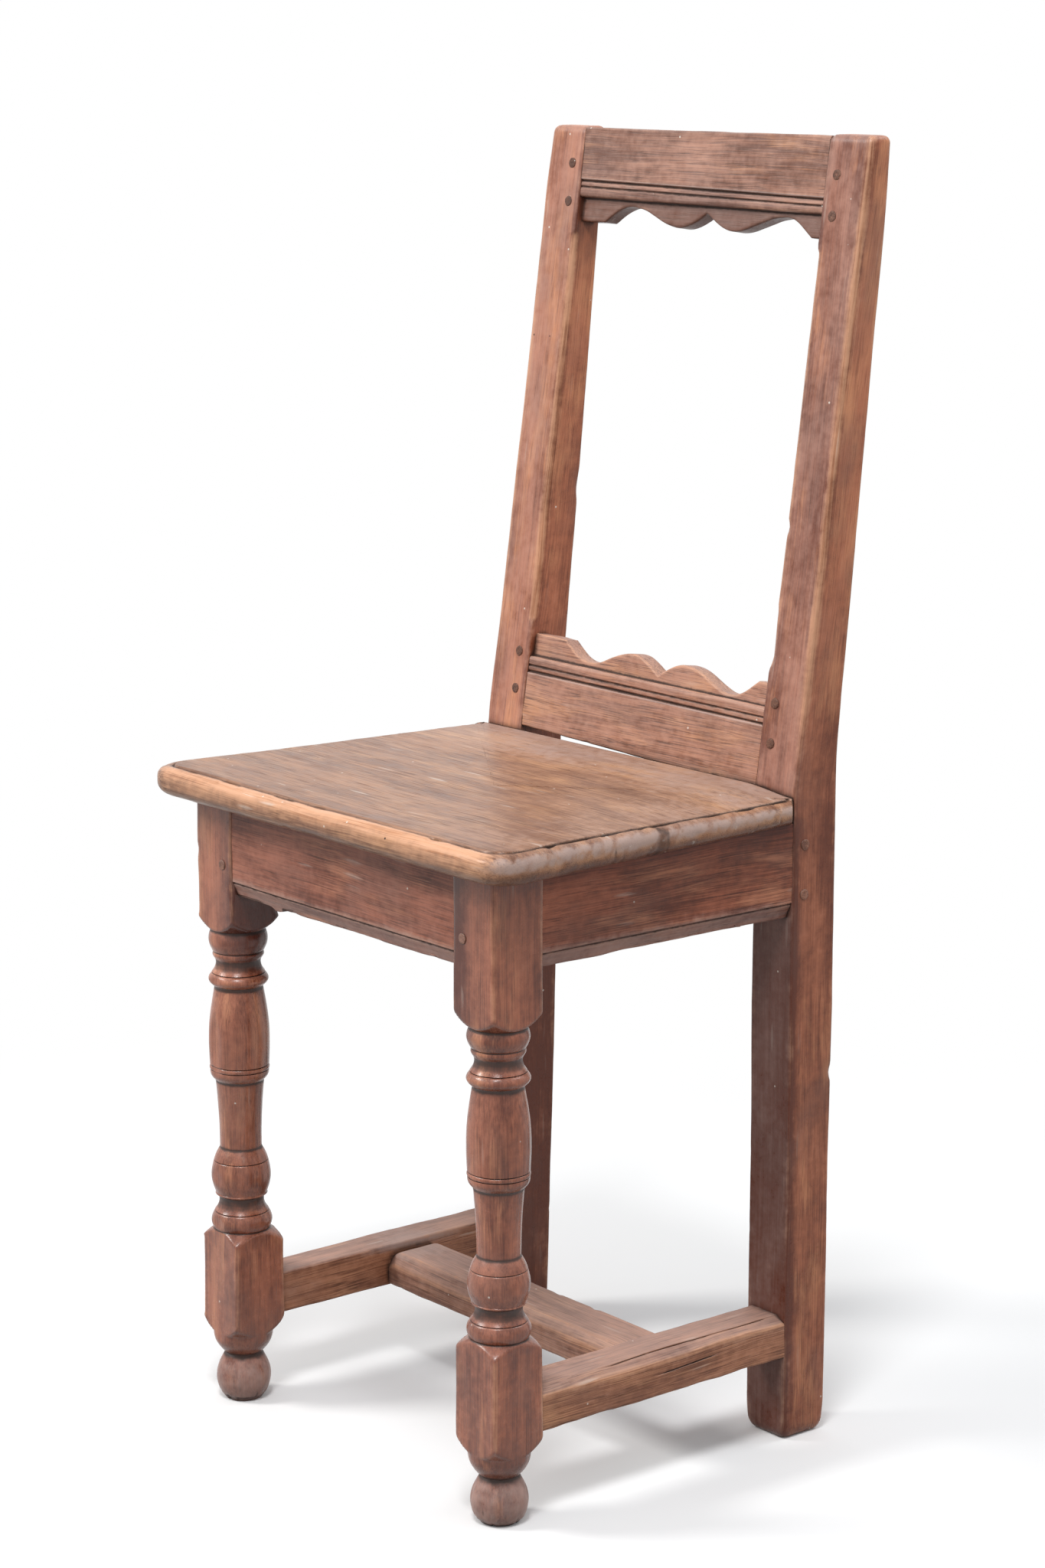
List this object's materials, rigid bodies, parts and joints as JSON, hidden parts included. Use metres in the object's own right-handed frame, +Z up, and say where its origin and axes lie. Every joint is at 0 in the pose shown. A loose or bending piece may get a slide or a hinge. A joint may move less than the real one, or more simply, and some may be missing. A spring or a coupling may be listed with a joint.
{
  "type": "side chair",
  "caption": "Joined oak side chair with a moulded board seat, turned front legs, an H stretcher and a raked open back with scalloped crest and lower rails.",
  "frame": {"origin": "on the floor, under the centre of the chair's bounding box", "axes": "+Z up, -Y towards the chair's front, +X to the right as seen from the front"},
  "size_m": [0.411, 0.3764, 0.93],
  "materials": {
    "leg_oak": "aged wax, satin",
    "post_oak": "aged wax, satin",
    "rail_oak": "aged wax, satin",
    "stretcher_oak": "aged wax, satin",
    "seat_oak": "aged wax, satin",
    "back_oak": "aged wax, satin",
    "peg_oak": "aged wax, satin"
  },
  "bodies": {
    "root": {"left_front_leg": "leg_oak", "right_front_leg": "leg_oak", "left_rear_post": "post_oak", "right_rear_post": "post_oak", "front_seat_rail": "rail_oak", "rear_seat_rail": "rail_oak", "left_seat_rail": "rail_oak", "right_seat_rail": "rail_oak", "cross_stretcher": "stretcher_oak", "left_stretcher": "stretcher_oak", "right_stretcher": "stretcher_oak", "seat_board": "seat_oak", "crest_rail": "back_oak", "lower_back_rail": "back_oak", "left_crest_rail_peg_outer": "peg_oak", "left_crest_rail_peg_inner": "peg_oak", "left_lower_back_rail_peg_outer": "peg_oak", "left_lower_back_rail_peg_inner": "peg_oak", "left_seat_rail_peg_upper": "peg_oak", "left_seat_rail_peg_lower": "peg_oak", "left_front_rail_peg": "peg_oak", "left_rear_rail_peg": "peg_oak", "left_front_seat_dowel": "peg_oak", "left_side_seat_dowel_fore": "peg_oak", "left_side_seat_dowel_aft": "peg_oak", "right_crest_rail_peg_outer": "peg_oak", "right_crest_rail_peg_inner": "peg_oak", "right_lower_back_rail_peg_outer": "peg_oak", "right_lower_back_rail_peg_inner": "peg_oak", "right_seat_rail_peg_upper": "peg_oak", "right_seat_rail_peg_lower": "peg_oak", "right_front_rail_peg": "peg_oak", "right_rear_rail_peg": "peg_oak", "right_front_seat_dowel": "peg_oak", "right_side_seat_dowel_fore": "peg_oak", "right_side_seat_dowel_aft": "peg_oak"}
  },
  "joints": []
}
